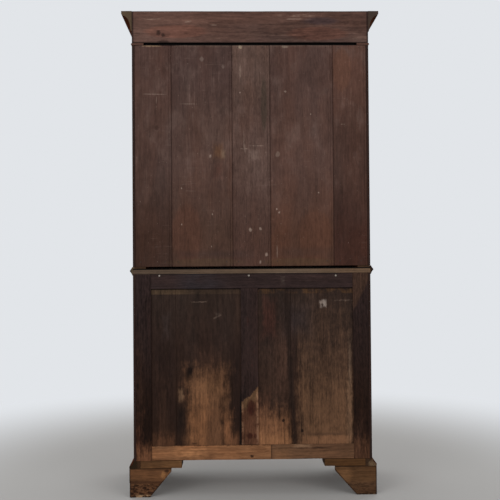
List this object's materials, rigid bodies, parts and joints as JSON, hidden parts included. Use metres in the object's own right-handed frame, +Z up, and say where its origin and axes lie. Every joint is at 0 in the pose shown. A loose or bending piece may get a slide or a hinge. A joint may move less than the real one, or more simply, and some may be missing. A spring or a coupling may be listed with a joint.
{
  "type": "bookcase cabinet",
  "caption": "Two-stage wooden bookcase cabinet: glazed doors with geometric bars over panelled doors, boarded and panelled back, moulded cornice, waist and base, bracket feet.",
  "frame": {"origin": "floor level, under the middle of the bounding box", "axes": "+Z up, the doors face -Y, the boarded back faces +Y, +X to the right as seen from the front"},
  "size_m": [1.11, 0.445, 2.083],
  "materials": {
    "show_wood": "old polish, worn",
    "back_wood": "dark stain, scuffed and unpolished",
    "inside_wood": "bare, darkened with age",
    "brass": "dulled",
    "glass": "clear, slightly uneven"
  },
  "bodies": {
    "carcase": {"cornice_moulding": "show_wood", "waist_moulding": "show_wood", "base_moulding": "show_wood", "upper_left_side": "show_wood", "upper_right_side": "show_wood", "lower_left_side": "show_wood", "lower_right_side": "show_wood", "front_left_foot": "show_wood", "front_right_foot": "show_wood", "rear_left_foot": "show_wood", "rear_right_foot": "show_wood", "upper_top_board": "inside_wood", "upper_bottom_board": "inside_wood", "upper_shelf_1": "inside_wood", "upper_shelf_2": "inside_wood", "lower_top_board": "inside_wood", "lower_bottom_board": "inside_wood", "lower_shelf": "inside_wood", "cornice_back_board": "back_wood", "upper_back_board_1": "back_wood", "upper_back_board_2": "back_wood", "upper_back_board_3": "back_wood", "upper_back_board_4": "back_wood", "upper_back_board_5": "back_wood", "lower_back_left_stile": "back_wood", "lower_back_right_stile": "back_wood", "lower_back_muntin": "back_wood", "lower_back_top_rail": "back_wood", "lower_back_bottom_rail_left": "back_wood", "lower_back_bottom_rail_right": "back_wood", "lower_back_left_panel": "back_wood", "lower_back_right_panel": "back_wood", "rear_left_foot_block": "back_wood", "rear_right_foot_block": "back_wood", "upper_left_low_hinge_carcase_leaf": "brass", "upper_left_high_hinge_carcase_leaf": "brass", "upper_right_low_hinge_carcase_leaf": "brass", "upper_right_high_hinge_carcase_leaf": "brass", "lower_left_low_hinge_carcase_leaf": "brass", "lower_left_high_hinge_carcase_leaf": "brass", "lower_right_low_hinge_carcase_leaf": "brass", "lower_right_high_hinge_carcase_leaf": "brass"},
    "upper_left_door": {"upper_left_door_frame": "show_wood", "upper_left_door_glass": "glass", "upper_left_low_hinge_door_leaf": "brass", "upper_left_high_hinge_door_leaf": "brass"},
    "upper_right_door": {"upper_right_door_frame": "show_wood", "upper_right_door_glass": "glass", "upper_right_low_hinge_door_leaf": "brass", "upper_right_high_hinge_door_leaf": "brass"},
    "lower_left_door": {"lower_left_door_frame": "show_wood", "lower_left_door_panel": "show_wood", "lower_left_low_hinge_door_leaf": "brass", "lower_left_high_hinge_door_leaf": "brass"},
    "lower_right_door": {"lower_right_door_frame": "show_wood", "lower_right_door_panel": "show_wood", "lower_right_low_hinge_door_leaf": "brass", "lower_right_high_hinge_door_leaf": "brass"},
    "upper_catch": {"upper_door_catch": "brass"},
    "lower_catch": {"lower_door_catch": "brass"}
  },
  "joints": [
    {"name": "upper_left_door_hinge", "type": "hinge", "parent": "carcase", "child": "upper_left_door", "pos_m": [-0.5141, -0.1529, 1.458], "axis": [0, 0, -1], "range_deg": [0, 165]},
    {"name": "upper_right_door_hinge", "type": "hinge", "parent": "carcase", "child": "upper_right_door", "pos_m": [0.5141, -0.1529, 1.458], "axis": [0, 0, 1], "range_deg": [0, 165]},
    {"name": "lower_left_door_hinge", "type": "hinge", "parent": "carcase", "child": "lower_left_door", "pos_m": [-0.5141, -0.1529, 0.5475], "axis": [0, 0, -1], "range_deg": [0, 165]},
    {"name": "lower_right_door_hinge", "type": "hinge", "parent": "carcase", "child": "lower_right_door", "pos_m": [0.5141, -0.1529, 0.5475], "axis": [0, 0, 1], "range_deg": [0, 165]},
    {"name": "upper_catch_turn", "type": "hinge", "parent": "upper_right_door", "child": "upper_catch", "pos_m": [0.0275, -0.1775, 1.4145], "axis": [0, 1, 0], "range_deg": [0, 90]},
    {"name": "lower_catch_turn", "type": "hinge", "parent": "lower_right_door", "child": "lower_catch", "pos_m": [0.0275, -0.1775, 0.6765], "axis": [0, 1, 0], "range_deg": [0, 90]}
  ]
}
